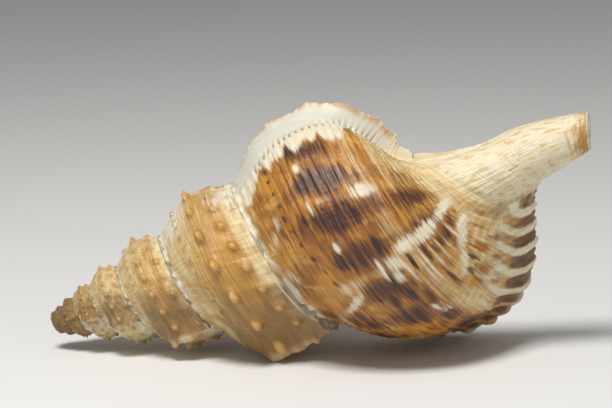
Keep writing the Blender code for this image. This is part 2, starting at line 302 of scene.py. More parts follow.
def flange(turn, place):
    """Height of the broad flange half a turn before the lip: steep behind, hollowed out in front."""
    past = turn - FLANGE_TURN
    rise = ease((past + FLANGE_RISE) / FLANGE_RISE) ** LIP_SWEEP
    fall = np.clip(1 - past / curve(place, FLANGE_FALL)[..., 0], 0.0, 1.0) ** FLANGE_HOLLOW
    return np.where(past < 0, rise, fall) * curve(place, FLANGE_ACROSS)[..., 0]


def crests(turn, place):
    """Height of the old lips, the flange and the flared lip."""
    across = curve(place, OLD_LIP_ACROSS)[..., 0]
    height = np.zeros_like(turn)
    for at, tall in OLD_LIPS:
        height = np.maximum(height, tall * step_up(turn - at, OLD_LIP_RISE, OLD_LIP_FALL) * across)
    uneven = wander(place * CREST_WANDER_PER_PLACE, turn * CREST_WANDER_PER_TURN)
    height = np.maximum(height, flange(turn, place)) * (1 + CREST_WANDER * uneven)
    return height + flare(turn, place)


def on_flange(turn, place):
    """1 on the flange's smooth hollow face, up to the row of pits."""
    past = (turn - FLANGE_TURN) / curve(place, FLANGE_FALL)[..., 0]
    return between(past, FLANGE_FACE_START) * (1 - between(past, FLANGE_FACE_STOP)) * (place < FLANGE_END)


def nodules(turn, place):
    """Height of the rows of nodules."""
    height = np.zeros_like(turn)
    lips = np.array([at for at, tall in OLD_LIPS])
    passed = np.searchsorted(lips, turn).clip(1, len(lips) - 1)
    share = np.clip((turn - lips[passed - 1]) / (lips[passed] - lips[passed - 1]), 0.0, 1.0)
    for at, count, offset, tall, long, wide, first, last in NODULES:
        beside = ((turn * count + offset) % 1.0 - 0.5) / count
        down = place - at - np.where(turn < lips[-1] + NODULE_SLOPE_END, NODULE_SLOPE * share, 0.0)
        lump = np.exp(-((beside / long) ** 2) - (down / wide) ** 2)
        height += tall * lump * ease((turn - first) / NODULE_FADE) * (1 - ease((turn - last) / NODULE_FADE))
    return height


def pits(turn, place):
    """Depth of the row of small pits where the flange's hollow face ends."""
    past = turn - FLANGE_TURN - curve(place, FLANGE_FALL)[..., 0] * PIT_ROW
    beside = np.clip(np.cos(2 * math.pi * place * PITS_PER_PLACE), 0.0, 1.0)
    row = PIT_DEPTH * bell(past, PIT_LENGTH) * beside
    return row * between(place, PIT_START) * (1 - between(place, PIT_STOP))


def seam_line(turn, place):
    """1 along the seam between two whorls. The last whorl has none below it."""
    next_seam = np.abs(place - 1.0) + OUT_OF_REACH * between(turn, BODY_START)
    return bell(np.minimum(place, next_seam), SEAM_WIDTH) * (place < SEAM_REACH)


def relief(turn, place):
    """Height of all the sculpture, as a share of the shoulder's radius."""
    crest = crests(turn, place)
    near_lip = between(turn, RIB_TURNS)
    ribs = near_lip * ribbing(turn, place) + (1 - near_lip) * CREST_RIB_GAIN * crest_points(place)
    strength = np.clip(crest / RIB_CREST, 0.0, RIB_LIMIT) + LIP_RIBS * near_lip * between(turn, LIP_RIB_TURNS)
    height = crest + RIB_HEIGHT * ribs * strength + nodules(turn, place)
    worn_rough = wander(turn * OLD_GRAIN[0], place * OLD_GRAIN[1])
    height += OLD_ROUGH * (1 - between(turn, OLD_TURNS)) * worn_rough
    height += SEAM_CRUST * seam_line(turn, place) * wander(turn * SEAM_GRAIN[0], place * SEAM_GRAIN[1])
    fine = between(turn, CORD_TURNS) * (1 - on_flange(turn, place))
    for count, tall in CORDS:
        height += tall * fine * np.cos(2 * math.pi * place * count)
    for count, tall in GROWTH_LINES:
        height += tall * np.cos(2 * math.pi * (turn * count + GROWTH_SWAY * np.sin(place * GROWTH_SWAY_RATE)))
    return height - pits(turn, place)


def worn(along, out):
    """Draws the apex out past the law of growth."""
    fade = np.exp(-along / APEX_FADE)
    return along - APEX_REACH * fade, out + APEX_SWELL * fade


def place_in_space(turn, along, out):
    """Points from the turn and the distances along and from the axis."""
    bend = curve(along, CANAL)[..., 1]
    angle = 2 * math.pi * turn
    return np.stack((out * np.cos(angle) + bend, out * np.sin(angle), along), axis=-1)


def surface(turn, place):
    """Points of the outer surface, with its sculpture."""
    turn, place = np.broadcast_arrays(turn, place)
    along, out = outline(turn, place)
    ahead = outline(turn, place + PLACE_STEP)
    behind = outline(turn, np.maximum(place - PLACE_STEP, 0.0))
    run = ahead[0] - behind[0]
    climb = ahead[1] - behind[1]
    length = np.hypot(run, climb)
    lift = relief(turn, place) * (1 - between(place, (NECK_PLACE, 2.0)))
    lift = lift * SHOULDER_RADIUS * WIDENING**turn
    along, out = worn(along - climb / length * lift, out + run / length * lift)
    points_out = LIP_POINT * ribbing(turn, place)
    points_out = points_out * (1 - between(place, LIP_POINT_STOP)) * between(place, LIP_POINT_START)
    turn = turn + points_out * ease((turn - LIP_TURN + LIP_POINT_FADE) / LIP_POINT_FADE) ** 2
    along = along + CANAL_END_SLANT * np.cos(2 * math.pi * turn) * np.clip(place - 2.0, 0.0, 1.0)
    return place_in_space(turn, along, out)


# columns stand closer together at the lip and at the flange, alike in every turn
even = np.linspace(0.0, 1.0, CROWD_SAMPLES)
crowd = np.ones_like(even)
for at, wide, more in CROWDED:
    crowd += more * bell(even - at, wide)
passed = np.concatenate(([0.0], np.cumsum(0.5 * (crowd[1:] + crowd[:-1]))))
within_turn = np.interp(np.linspace(0.0, passed[-1], COLUMNS_PER_TURN + 1), passed, even)
whole = [LIP_TURN - back + within_turn[:-1] for back in range(TURNS_BACK, 0, -1)]
whole = np.concatenate(whole + [[LIP_TURN]])
turns = whole[whole >= FIRST_TURN]
steps = len(turns) - 1
last_turn = steps - COLUMNS_PER_TURN
places = np.concatenate((
    np.linspace(0.0, 1.0, ROWS_ACROSS + 1),
    np.linspace(1.0, NECK_PLACE, ROWS_BASE + 1)[1:],
    np.linspace(NECK_PLACE, 2.0, ROWS_NECK + 1)[1:],
    np.linspace(2.0, 3.0, ROWS_CANAL + 1)[1:],
))
neck_row = ROWS_ACROSS + ROWS_BASE + ROWS_NECK
end_row = neck_row + ROWS_CANAL
grid = surface(turns[:, None], places[None, :])
stride = np.where(turns >= FINE_FROM, SPIRE_STRIDE, APEX_STRIDE)
stride[last_turn:] = 1
points = []
address = []
numbers = {}
faces = []


def corner(column, row):
    """The number of a point of the coil, seams welded."""
    if row == ROWS_ACROSS and column <= last_turn:
        column, row = column + COLUMNS_PER_TURN, 0
    if row >= neck_row and column == last_turn:
        column = steps
    if (column, row) not in numbers:
        numbers[column, row] = len(points)
        points.append(grid[column, row])
        address.append((turns[column], places[row]))
    return numbers[column, row]


for column in range(steps):
    rows = end_row if column >= last_turn else ROWS_ACROSS
    near, far = stride[column], stride[column + 1]
    for row in range(0, rows, near):
        ring = [corner(column, row)]
        ring += [corner(column + 1, up) for up in range(row, row + near + 1, far)]
        ring.append(corner(column, row + near))
        faces.append(ring)
rim = [corner(column, 0) for column in range(COLUMNS_PER_TURN)]
rim += [corner(0, row) for row in range(ROWS_ACROSS, 0, -stride[0])]
points.append(np.mean([points[number] for number in rim], axis=0) - (0.0, 0.0, APEX_CAP))
address.append((FIRST_TURN, 0.5))
faces += [(rim[k], rim[(k + 1) % len(rim)], len(points) - 1) for k in range(len(rim))]
rim = [corner(column, end_row) for column in range(last_turn, steps)]
points.append(np.mean([points[number] for number in rim], axis=0))
address.append((0.0, 3.0))
faces += [(rim[k], rim[(k + 1) % len(rim)], len(points) - 1) for k in range(len(rim))]

# The mouth and the hollow behind it, where the animal lived. The outer lip's wall is a little over
# 2 mm thick, and a thin smooth callus lines the whorl behind. The hollow narrows round the coil.
WALL = 0.0022
CALLUS = 0.0011
CALLUS_EDGE = 0.0006
CALLUS_FADE = 0.15
HOLLOW_TURNS = 1.15
HOLLOW_CROWDING = 1.15
HOLLOW_CENTRE = (1.0, 0.62)
HOLLOW_FLARE = 0.72
HOLLOW_TAPER = 0.12
HOLLOW_NEAREST = 0.02
HOLLOW_PLACES_END = 1.98
HOLLOW_COLUMNS = 120
HOLLOW_ROWS = 80
HOLLOW_STEPS = 80
HOLLOW_SAMPLES = 150


def hollow_loop(turn, opened):
    """The hollow's loop at one turn: as far from its centre as the wall and the callus allow."""
    scale = SHOULDER_RADIUS * WIDENING**turn
    neck = np.linspace(NECK_PLACE, HOLLOW_PLACES_END, HOLLOW_SAMPLES)
    outer_places = np.concatenate((np.linspace(0.0, NECK_PLACE, HOLLOW_SAMPLES), neck))
    inner_places = np.concatenate((np.linspace(1.0, NECK_PLACE, HOLLOW_SAMPLES), neck))
    here = np.full_like(outer_places, turn)
    along, out = outline(here, outer_places)
    outside = np.column_stack((along, out + HOLLOW_FLARE * flare(here, outer_places) * scale))
    inside = np.column_stack(outline(here - 1.0, inner_places))
    centre = np.array((SHOULDER_HEIGHT * LENGTHENING**turn * HOLLOW_CENTRE[0], scale * HOLLOW_CENTRE[1]))
    angles = np.linspace(0.0, 2 * math.pi, HOLLOW_ROWS, endpoint=False)
    rays = np.column_stack((np.cos(angles), np.sin(angles)))
    reach = np.linspace(HOLLOW_NEAREST, 1.0, HOLLOW_STEPS) * scale
    trial = centre + rays[:, None, :] * reach[None, :, None]
    to_outside = np.linalg.norm(trial[:, :, None, :] - outside, axis=-1).min(axis=-1)
    to_inside = np.linalg.norm(trial[:, :, None, :] - inside, axis=-1).min(axis=-1)
    callus = CALLUS + (CALLUS_EDGE - CALLUS) * between(turn, (LIP_TURN - CALLUS_FADE, LIP_TURN))
    margin = np.minimum(to_outside - WALL, to_inside - callus)
    row = np.arange(HOLLOW_ROWS)
    stop = np.maximum(np.argmax(margin < 0.0, axis=1), 1)
    before = margin[row, stop - 1]
    after = margin[row, stop]
    length = reach[stop - 1] + (reach[stop] - reach[stop - 1]) * before / (before - after)
    loop = centre + rays * (length * opened)[:, None]
    return place_in_space(np.full(HOLLOW_ROWS, turn), loop[:, 0], loop[:, 1])


lip_edge = [corner(steps, row) for row in range(neck_row + 1)]
lip_edge += [corner(last_turn, row) for row in range(neck_row - 1, ROWS_ACROSS, -1)]
outer_count = len(points)
hollow_turns = LIP_TURN - HOLLOW_TURNS * np.linspace(0.0, 1.0, HOLLOW_COLUMNS) ** HOLLOW_CROWDING
for turn in hollow_turns:
    opened = max(math.sqrt(ease((turn - hollow_turns[-1]) / HOLLOW_TAPER)), HOLLOW_NEAREST)
    points.extend(hollow_loop(turn, opened))
    address.extend([(turn, 0.5)] * HOLLOW_ROWS)
for first in range(outer_count, len(points) - HOLLOW_ROWS, HOLLOW_ROWS):
    for row in range(HOLLOW_ROWS):
        beside = (row + 1) % HOLLOW_ROWS
        faces.append((first + row, first + beside, first + HOLLOW_ROWS + beside, first + HOLLOW_ROWS + row))
faces.append(tuple(range(len(points) - HOLLOW_ROWS, len(points))))
opening = list(range(outer_count, outer_count + HOLLOW_ROWS))
lip_angle = 2 * math.pi * LIP_TURN
outward = np.array((math.cos(lip_angle), math.sin(lip_angle), 0.0))
flat = [[Vector((points[k][2], points[k] @ outward, 0.0)) for k in loop] for loop in (lip_edge, opening)]
ring = lip_edge + opening
faces += [tuple(ring[k] for k in three) for three in tessellate_polygon(flat)]


def mesh_object(name, points, faces):
    """A smooth mesh object from points and faces, its faces turned outward."""
    mesh = bpy.data.meshes.new(name)
    mesh.from_pydata([tuple(point) for point in points], [], faces)
    work = bmesh.new()
    work.from_mesh(mesh)
    bmesh.ops.recalc_face_normals(work, faces=work.faces)
    bmesh.ops.triangulate(work, faces=[face for face in work.faces if len(face.verts) > 4])
    for face in work.faces:
        face.smooth = True
    work.to_mesh(mesh)
    work.free()
    made = bpy.data.objects.new(name, mesh)
    bpy.context.scene.collection.objects.link(made)
    return made


grown = mesh_object("grown_shell", points, faces)

# The slit along the canal. The animal's breathing tube lay in it, so the canal's two edges never grew
# together. It is a groove with a round bottom, deeper towards the canal's end, cut out of the grown shell.
SLIT_HALF_WIDTH = 0.0016
SLIT_MOUTH = 0.0021
SLIT_REACH = 0.014
SLIT_TURN = 0.031
SLIT = ((0.112, 0.0088), (0.121, 0.0048), (0.129, 0.0018), (0.138, 0.0004), (0.1535, 0.0))
SLIT_COLUMNS = 40
SLIT_ROWS = 15

slit_along = np.linspace(SLIT[0][0], SLIT[-1][0], SLIT_COLUMNS)
slit_depth = curve(slit_along, SLIT)[:, 0]
slit_bend = curve(slit_along, CANAL)[:, 1]
slit_angle = 2 * math.pi * (LIP_TURN + SLIT_TURN)
slit_out = np.array((math.cos(slit_angle), math.sin(slit_angle), 0.0))
slit_side = np.array((-math.sin(slit_angle), math.cos(slit_angle), 0.0))
around = np.linspace(-0.5 * math.pi, 0.5 * math.pi, SLIT_ROWS)
across = np.concatenate(([-SLIT_MOUTH], SLIT_HALF_WIDTH * np.sin(around), [SLIT_MOUTH]))
slit_points = []
for z, floor_out, shift in zip(slit_along, slit_depth, slit_bend):
    out = np.concatenate(([SLIT_REACH], floor_out - SLIT_HALF_WIDTH * np.cos(around), [SLIT_REACH]))
    slit_points.extend(np.array((shift, 0.0, z)) + out[:, None] * slit_out + across[:, None] * slit_side)
size = SLIT_ROWS + 2
slit_faces = [tuple(range(size)), tuple(range((SLIT_COLUMNS - 1) * size, SLIT_COLUMNS * size))]
for first in range(0, (SLIT_COLUMNS - 1) * size, size):
    for row in range(size):
        beside = (row + 1) % size
        slit_faces.append((first + row, first + beside, first + size + beside, first + size + row))
slit = mesh_object("slit", slit_points, slit_faces)
away = grown.modifiers.new("slit", "BOOLEAN")
away.operation = "DIFFERENCE"
away.solver = "EXACT"
away.object = slit
bpy.context.view_layer.update()
cut_mesh = bpy.data.meshes.new_from_object(grown.evaluated_get(bpy.context.evaluated_depsgraph_get()))
cut_mesh.name = "frog_shell"
bpy.data.objects.remove(slit, do_unlink=True)
bpy.data.objects.remove(grown, do_unlink=True)
shell = bpy.data.objects.new("frog_shell", cut_mesh)
bpy.context.scene.collection.objects.link(shell)

# The shell's markings were laid down with it at the lip, so they follow the coil. Where each point lies,
# and how much of each marking is there, is kept on the mesh. The points of the hollow are lining, and so
# are those of the slit, which lie off the grown surface.
OFF_COIL = (0.0003, 0.0008)
PATCH_SOFTNESS = 0.75
PATCH_SQUARENESS = 2.2

found = kdtree.KDTree(len(points))
for number, point in enumerate(points):
    found.insert(point, number)
found.balance()
nearest = np.array([found.find(vertex.co)[1:] for vertex in cut_mesh.vertices])
lies_at = np.array(address)[nearest[:, 0].astype(int)]
at_turn, at_place = lies_at[:, 0], lies_at[:, 1]
lining = np.maximum(nearest[:, 0] >= outer_count, between(nearest[:, 1], OFF_COIL))
seams = np.array([at for at, tall in OLD_LIPS] + [FLANGE_TURN, LIP_TURN])
next_lip = np.searchsorted(seams, at_turn).clip(1, len(seams) - 1)
share = np.clip((at_turn - seams[next_lip - 1]) / (seams[next_lip] - seams[next_lip - 1]), 0.0, 1.0)
on_body = between(at_turn, BODY_START)


def patches(spots):
    """Where the patches lie, each given as its turn, place, half length, half width, lean and strength."""
    mask = np.zeros_like(at_turn)
    for turn, place, long, wide, lean, strength in spots:
        past = np.abs((at_turn - turn - lean * (at_place - place)) / long) ** PATCH_SQUARENESS
        beside = np.abs((at_place - place) / wide) ** PATCH_SQUARENESS
        mask = np.maximum(mask, strength * np.exp(-PATCH_SOFTNESS * (past + beside)))
    return mask


def before_lip(far, near):
    """A smooth step from 0 to 1 between two distances from the lip, in turns."""
    return between(at_turn, (LIP_TURN - far, LIP_TURN - near))


# brown lies in a broad band on the whorl's shoulder, thinner above and below it
BODY_BROWN = (
    (0.0, 0.45), (0.05, 0.55), (0.12, 0.72), (0.24, 0.74), (0.32, 0.85), (0.55, 0.98), (0.78, 0.92),
    (0.86, 0.60), (0.96, 0.52), (1.02, 0.80), (1.10, 0.66), (1.35, 0.66), (1.50, 0.52), (1.60, 0.30),
    (1.75, 0.30), (1.82, 0.14), (1.95, 0.10), (2.2, 0.18), (2.5, 0.56), (3.0, 0.85),
)
SPIRE_BROWN = (
    (0.0, 0.12), (0.08, 0.20), (0.20, 0.22), (0.30, 0.36), (0.42, 0.40), (0.52, 0.56), (0.66, 0.56),
    (0.74, 0.62), (0.81, 0.72), (0.85, 0.34), (0.93, 0.18), (1.0, 0.16),
)
# on the spire it deepens from one old lip to the next, and from the oldest whorls to the youngest
BROWN_AFTER_LIP = 0.72
BROWN_TO_NEXT_LIP = 0.34
BROWN_OLDEST = 0.60
BROWN_WITH_AGE = 0.76
BROWN_AGE_TURNS = (-2.6, -0.9)
# it is thinner low on the first part of the last whorl, and on the ribs near the lip
LOW_THINNING = 0.45
LOW_THINNING_STOP = (0.14, 0.24)
LOW_THINNING_PLACES = (1.04, 1.12)
LIP_THINNING = 0.68
LIP_THINNING_TURNS = (0.35, 0.44)
LIP_THINNING_PLACES = (0.85, 1.0)
LIP_THINNING_END = 1.9
# and it lies in faint bands round the canal, counted over the canal's length
CANAL_BAND_MEAN = 0.85
CANAL_BAND_SWING = 0.25
CANAL_BANDS = 13.0
BROWN_PATCHES = (
    (0.425, 1.100, 0.030, 0.060, 0.1, 0.80), (0.436, 1.230, 0.030, 0.060, 0.1, 0.75),
    (0.415, 1.380, 0.034, 0.060, 0.1, 0.74), (0.470, 1.320, 0.024, 0.050, 0.2, 0.70),
    (0.480, 1.130, 0.024, 0.050, 0.2, 0.72), (0.455, 1.480, 0.036, 0.050, 0.1, 0.66),
    (0.400, 1.560, 0.040, 0.035, 0.0, 0.62), (0.380, 1.680, 0.050, 0.030, 0.0, 0.60),
    (0.300, 1.700, 0.050, 0.025, 0.0, 0.55), (0.170, 1.025, 0.130, 0.016, 0.0, 0.98),
    (0.360, 1.035, 0.060, 0.018, 0.0, 0.90), (0.380, 0.600, 0.016, 0.050, 0.0, 0.95),
)
brown = curve(at_place, SPIRE_BROWN)[:, 0] * (BROWN_AFTER_LIP + BROWN_TO_NEXT_LIP * share)
brown *= BROWN_OLDEST + BROWN_WITH_AGE * between(at_turn, BROWN_AGE_TURNS)
brown += (curve(at_place, BODY_BROWN)[:, 0] - brown) * on_body
low = (1 - between(at_turn, LOW_THINNING_STOP)) * between(at_place, LOW_THINNING_PLACES)
brown *= 1 - LOW_THINNING * on_body * low
by_lip = between(at_turn, LIP_THINNING_TURNS) * between(at_place, LIP_THINNING_PLACES)
brown *= 1 - LIP_THINNING * by_lip * (at_place < LIP_THINNING_END)
bands = CANAL_BAND_MEAN + CANAL_BAND_SWING * np.cos(2 * math.pi * at_place * CANAL_BANDS)
brown = np.where(at_place > 2.0, brown * bands, brown)
brown = np.maximum(brown, patches(BROWN_PATCHES))

# where the animal paused it laid down dark bars, broken into blocks by the cords; two dark areas low on the
# last whorl are partly painted shade
PAUSE_LENGTH = 0.055
FIRST_PAUSE = 0.180
PAUSE_LEAST = 0.42
PAUSE_SHARPNESS = 0.8
DARK_AREAS = (
    (0.225, 0.640, 0.140, 0.200, 0.0, 1.00), (0.370, 0.660, 0.080, 0.180, 0.0, 0.88),
    (0.245, 1.230, 0.075, 0.270, -0.05, 0.80), (0.230, 0.900, 0.070, 0.100, 0.0, 0.66),
    # partly painted shade: the areas at turns 0.42 and 0.40, places 0.35 and 0.12, darken the last whorl
    # where it lies low
    (0.240, 0.380, 0.060, 0.090, 0.0, 0.60), (0.420, 0.350, 0.060, 0.140, 0.0, 0.88),
    (0.400, 0.120, 0.060, 0.090, 0.0, 0.62), (0.220, 0.200, 0.030, 0.050, 0.0, 0.50),
    (-0.22, 0.620, 0.130, 0.180, 0.0, 0.90), (-0.20, 1.220, 0.120, 0.200, 0.0, 0.70),
)
DARK_BLOCKS = (
    (0.122, 0.520, 0.020, 0.045, 0.0, 1.00), (0.130, 0.765, 0.024, 0.030, 0.0, 0.85),
    (0.182, 0.525, 0.014, 0.045, 0.0, 1.10), (0.182, 0.750, 0.015, 0.045, 0.0, 1.00),
    (0.180, 0.640, 0.014, 0.060, 0.0, 0.85), (0.236, 0.505, 0.017, 0.038, 0.0, 1.10),
    (0.240, 0.590, 0.018, 0.040, 0.0, 1.05), (0.236, 0.745, 0.018, 0.045, 0.0, 1.00),
    (0.226, 0.410, 0.012, 0.045, 0.1, 0.85), (0.291, 0.510, 0.013, 0.070, 0.0, 1.00),
    (0.290, 0.640, 0.018, 0.080, 0.0, 0.95), (0.284, 0.770, 0.018, 0.050, 0.0, 0.90),
    (0.362, 0.640, 0.017, 0.050, 0.0, 0.90), (0.362, 0.750, 0.020, 0.042, 0.0, 0.90),
    (0.388, 0.350, 0.020, 0.040, 0.0, 0.85), (0.410, 0.690, 0.018, 0.050, 0.0, 0.90),
    (0.430, 0.820, 0.020, 0.060, 0.0, 0.85), (0.380, 0.830, 0.020, 0.034, 0.0, 0.80),
    (0.326, 0.795, 0.0026, 0.012, 0.0, 1.60), (0.319, 0.765, 0.0020, 0.008, 0.0, 1.50),
    (0.322, 0.895, 0.020, 0.022, 0.0, 0.72), (0.322, 1.025, 0.022, 0.026, 0.0, 0.85),
    (0.326, 1.110, 0.020, 0.030, 0.0, 0.62), (0.325, 1.190, 0.018, 0.034, 0.0, 0.68),
    (0.322, 1.285, 0.018, 0.050, 0.0, 0.82), (0.312, 1.430, 0.016, 0.070, -0.1, 0.64),
    (0.385, 1.045, 0.024, 0.022, 0.0, 0.70), (0.304, 1.560, 0.014, 0.030, -0.1, 0.60),
    (0.400, 1.280, 0.022, 0.035, 0.0, 0.66), (0.410, 1.180, 0.014, 0.040, 0.0, 0.62),
    (0.500, 0.780, 0.036, 0.095, 0.0, 0.95), (0.545, 0.930, 0.030, 0.060, 0.0, 0.60),
    (-0.28, 0.560, 0.020, 0.070, 0.0, 0.95), (-0.22, 0.620, 0.016, 0.080, 0.0, 0.90),
    (-0.16, 0.520, 0.018, 0.060, 0.0, 1.00), (-0.09, 0.700, 0.018, 0.080, 0.0, 0.90),
    (-0.30, 0.850, 0.022, 0.050, 0.0, 0.80), (-0.13, 1.150, 0.020, 0.120, -0.1, 0.70),
    (-0.23, 1.200, 0.018, 0.100, -0.1, 0.70), (-0.06, 1.300, 0.016, 0.100, -0.1, 0.70),
)
pauses = 0.5 + 0.5 * np.cos(2 * math.pi * (at_turn - FIRST_PAUSE) / PAUSE_LENGTH)
pauses = PAUSE_LEAST + (1 - PAUSE_LEAST) * pauses**PAUSE_SHARPNESS
dark = np.maximum(pauses * patches(DARK_AREAS), patches(DARK_BLOCKS))

# a row of dark dots high on the last whorl, which sinks towards the lip
DOTS_PER_TURN = 47.0
DOT_SHARPNESS = 0.7
DOT_PLACE = 0.285
DOT_WIDTH = 0.018
DOT_SINKS = 0.10
DOT_SINK_TURNS = (0.22, 0.36)
DOT_START = (0.10, 0.12)
DOT_STOP = (0.33, 0.36)
DOT_STRENGTH = 0.95
dots = np.clip(np.cos(2 * math.pi * at_turn * DOTS_PER_TURN), 0.0, 1.0) ** DOT_SHARPNESS
dots *= bell(at_place - DOT_PLACE - DOT_SINKS * between(at_turn, DOT_SINK_TURNS), DOT_WIDTH)
dots *= between(at_turn, DOT_START) * (1 - between(at_turn, DOT_STOP))
dark = np.maximum(dark, DOT_STRENGTH * dots)

# a row of ochre spots on each whorl of the spire, which slopes down between two old lips
OCHRE_PER_TURN = 35.0
OCHRE_OFFSET = 0.62
OCHRE_SHARPNESS = 2
OCHRE_PLACE = 0.235
OCHRE_WIDTH = 0.024
OCHRE_SLOPE = 0.14
OCHRE_START = (0.15, 0.25)
OCHRE_STOP = (0.75, 0.9)
ochre = np.clip(np.cos(2 * math.pi * (at_turn * OCHRE_PER_TURN + OCHRE_OFFSET)), 0.0, 1.0) ** OCHRE_SHARPNESS
ochre *= bell(at_place - OCHRE_PLACE - OCHRE_SLOPE * share, OCHRE_WIDTH) * (1 - on_body)
ochre *= between(share, OCHRE_START) * (1 - between(share, OCHRE_STOP))

# pale patches, and white where a new lip was begun, up to an uneven edge where the brown starts
PALE_PATCHES = (
    (0.209, 0.890, 0.010, 0.100, 0.0, 0.95), (0.214, 0.500, 0.010, 0.030, 0.1, 0.75),
    (0.209, 0.570, 0.007, 0.060, 0.0, 0.55), (0.298, 0.930, 0.010, 0.090, -0.03, 1.00),
    (0.296, 1.140, 0.012, 0.160, -0.03, 1.05), (0.281, 1.470, 0.013, 0.170, -0.07, 1.05),
    (0.386, 1.210, 0.012, 0.100, -0.1, 0.85), (0.349, 1.450, 0.015, 0.170, -0.10, 1.05),
    (0.345, 0.945, 0.040, 0.016, 0.0, 0.60), (0.345, 1.070, 0.035, 0.016, 0.0, 0.66),
    (0.340, 1.150, 0.035, 0.012, 0.0, 0.70), (0.345, 1.235, 0.035, 0.012, 0.0, 0.60),
    (0.335, 1.350, 0.035, 0.016, 0.0, 0.72), (0.322, 0.690, 0.014, 0.022, 0.0, 0.85),
    (0.316, 0.790, 0.012, 0.050, 0.0, 1.00), (0.334, 0.765, 0.012, 0.040, 0.0, 0.95),
    (0.328, 0.460, 0.012, 0.140, -0.05, 0.55), (0.358, 0.380, 0.008, 0.120, -0.16, 0.85),
    (0.332, 0.850, 0.022, 0.018, 0.0, 0.60), (0.345, 0.985, 0.045, 0.022, 0.0, 0.65),
    (0.402, 0.800, 0.008, 0.025, 0.0, 0.75), (0.418, 0.840, 0.008, 0.030, 0.0, 0.70),
    (0.312, 0.700, 0.012, 0.018, 0.0, 0.90), (0.155, 0.530, 0.0078, 0.026, 0.0, 1.0),
    (0.272, 0.530, 0.0066, 0.022, 0.0, 1.0), (0.305, 0.100, 0.016, 0.060, 0.1, 0.55),
    (0.230, 0.150, 0.012, 0.090, -0.25, 0.55), (0.395, 0.190, 0.020, 0.050, 0.0, 0.40),
    (0.150, 1.400, 0.025, 0.090, 0.0, 0.45), (0.200, 1.620, 0.080, 0.040, 0.0, 0.45),
    (-0.19, 0.900, 0.012, 0.120, -0.05, 0.80), (-0.33, 1.200, 0.012, 0.150, -0.08, 0.80),
)
BROWN_STARTS = ((0.0, 0.130), (0.08, 0.150), (0.15, 0.135), (0.21, 0.125), (0.27, 0.108), (0.34, 0.126),
                (0.42, 0.116), (0.47, 0.118), (0.52, 0.098), (0.58, 0.118), (0.62, 0.112), (0.67, 0.102),
                (0.71, 0.112), (0.76, 0.092), (0.82, 0.114), (0.88, 0.106), (0.95, 0.100), (1.0, 0.062),
                (1.04, 0.042), (1.09, 0.060), (1.2, 0.040), (1.4, 0.030), (1.8, 0.022))
WHITE_FROM = -0.03
BROWN_EDGE = (-0.014, 0.024)
starts = curve(at_place, BROWN_STARTS)[:, 0]
begun = between(at_turn, (starts + BROWN_EDGE[0], starts + BROWN_EDGE[1]))
pale = np.maximum(patches(PALE_PATCHES), (at_turn > WHITE_FROM) * (1 - begun) * (at_place < NECK_PLACE))

# towards the lip the ribs are white, with brown and then chestnut bars between them, and its edge is pale
LIP_EDGE_STRENGTH = 0.55
LIP_EDGE_TURNS = (0.034, 0.024)
LIP_EDGE_END = 1.75
WHITE_RIB_TURNS = (0.40, 0.50)
WHITE_RIB_PLACES = (0.88, 1.0)
WHITE_RIB_MEAN = 0.45
WHITE_RIB_SWING = 0.9
WHITE_RIB_LIMITS = (0.30, 0.80)
GAP_MEAN = 0.70
GAP_SWING = 1.5
BROWN_BAR_STRENGTH = 0.66
BROWN_BAR_TURNS = (0.185, 0.075)
BROWN_BAR_PLACES = (0.85, 1.0)
BROWN_BAR_END = 1.74
BAR_TURNS = (0.120, 0.020)
BAR_START = (0.30, 0.45)
BAR_FADE = 0.45
BAR_FADE_PLACES = (1.32, 1.42)
BAR_END = 1.72
BAR_OVER_PALE = 0.9
BAR_OVER_PALE_END = 1.6
pale = np.maximum(pale, before_lip(*LIP_EDGE_TURNS) * (at_place < LIP_EDGE_END) * LIP_EDGE_STRENGTH)
ribs = ribbing(at_turn, at_place)
ribbed = between(at_turn, WHITE_RIB_TURNS) * between(at_place, WHITE_RIB_PLACES) * (at_place < LIP_EDGE_END)
pale = np.maximum(pale, ribbed * np.clip(WHITE_RIB_MEAN + ribs * WHITE_RIB_SWING, *WHITE_RIB_LIMITS))
gaps = np.clip(GAP_MEAN - ribs * GAP_SWING, 0.0, 1.0)
brown_bars = before_lip(*BROWN_BAR_TURNS) * between(at_place, BROWN_BAR_PLACES) * (at_place < BROWN_BAR_END)
brown = np.maximum(brown, BROWN_BAR_STRENGTH * gaps * brown_bars)
bars = gaps * before_lip(*BAR_TURNS)
bars *= between(at_place, BAR_START) * (at_place < BAR_END)
bars *= 1 - BAR_FADE * between(at_place, BAR_FADE_PLACES)
pale = pale * (1 - BAR_OVER_PALE * bars * (at_place < BAR_OVER_PALE_END))

# each stretch of the spire is white after an old lip, less so along its middle, and darker grey-brown before
# the next, partly its own colour and partly painted shade
WHORL_MIDDLE = ((0.0, 0.6, 9.0, 0.2, 0.0, 1.0),)
WHITE_AFTER_LIP = 0.75
WHITE_IN_MIDDLE = 0.5
WHITE_STOP = (0.25, 0.6)
SHADE_GREY_STRENGTH = 0.8
SHADE_GREY_START = (0.55, 0.90)
SHADE_GREY_PLACES = (0.05, 0.3)
# the first patch is a worn grey spot; the last two are painted shade in the hollow where the canal meets the
# lip
WORN_GREY_AND_SHADE_PATCHES = (
    (0.322, 0.760, 0.016, 0.065, 0.0, 1.10), (0.480, 1.720, 0.100, 0.075, 0.0, 0.60),
    (0.570, 1.690, 0.050, 0.060, 0.0, 0.60),
)
after_old_lip = (1 - on_body) * (1 - between(share, WHITE_STOP))
pale = np.maximum(pale, after_old_lip * (WHITE_AFTER_LIP - WHITE_IN_MIDDLE * patches(WHORL_MIDDLE)))
grey_and_shade = (1 - on_body) * between(share, SHADE_GREY_START) * SHADE_GREY_STRENGTH * between(at_place, SHADE_GREY_PLACES)
grey_and_shade = np.maximum(grey_and_shade, patches(WORN_GREY_AND_SHADE_PATCHES))

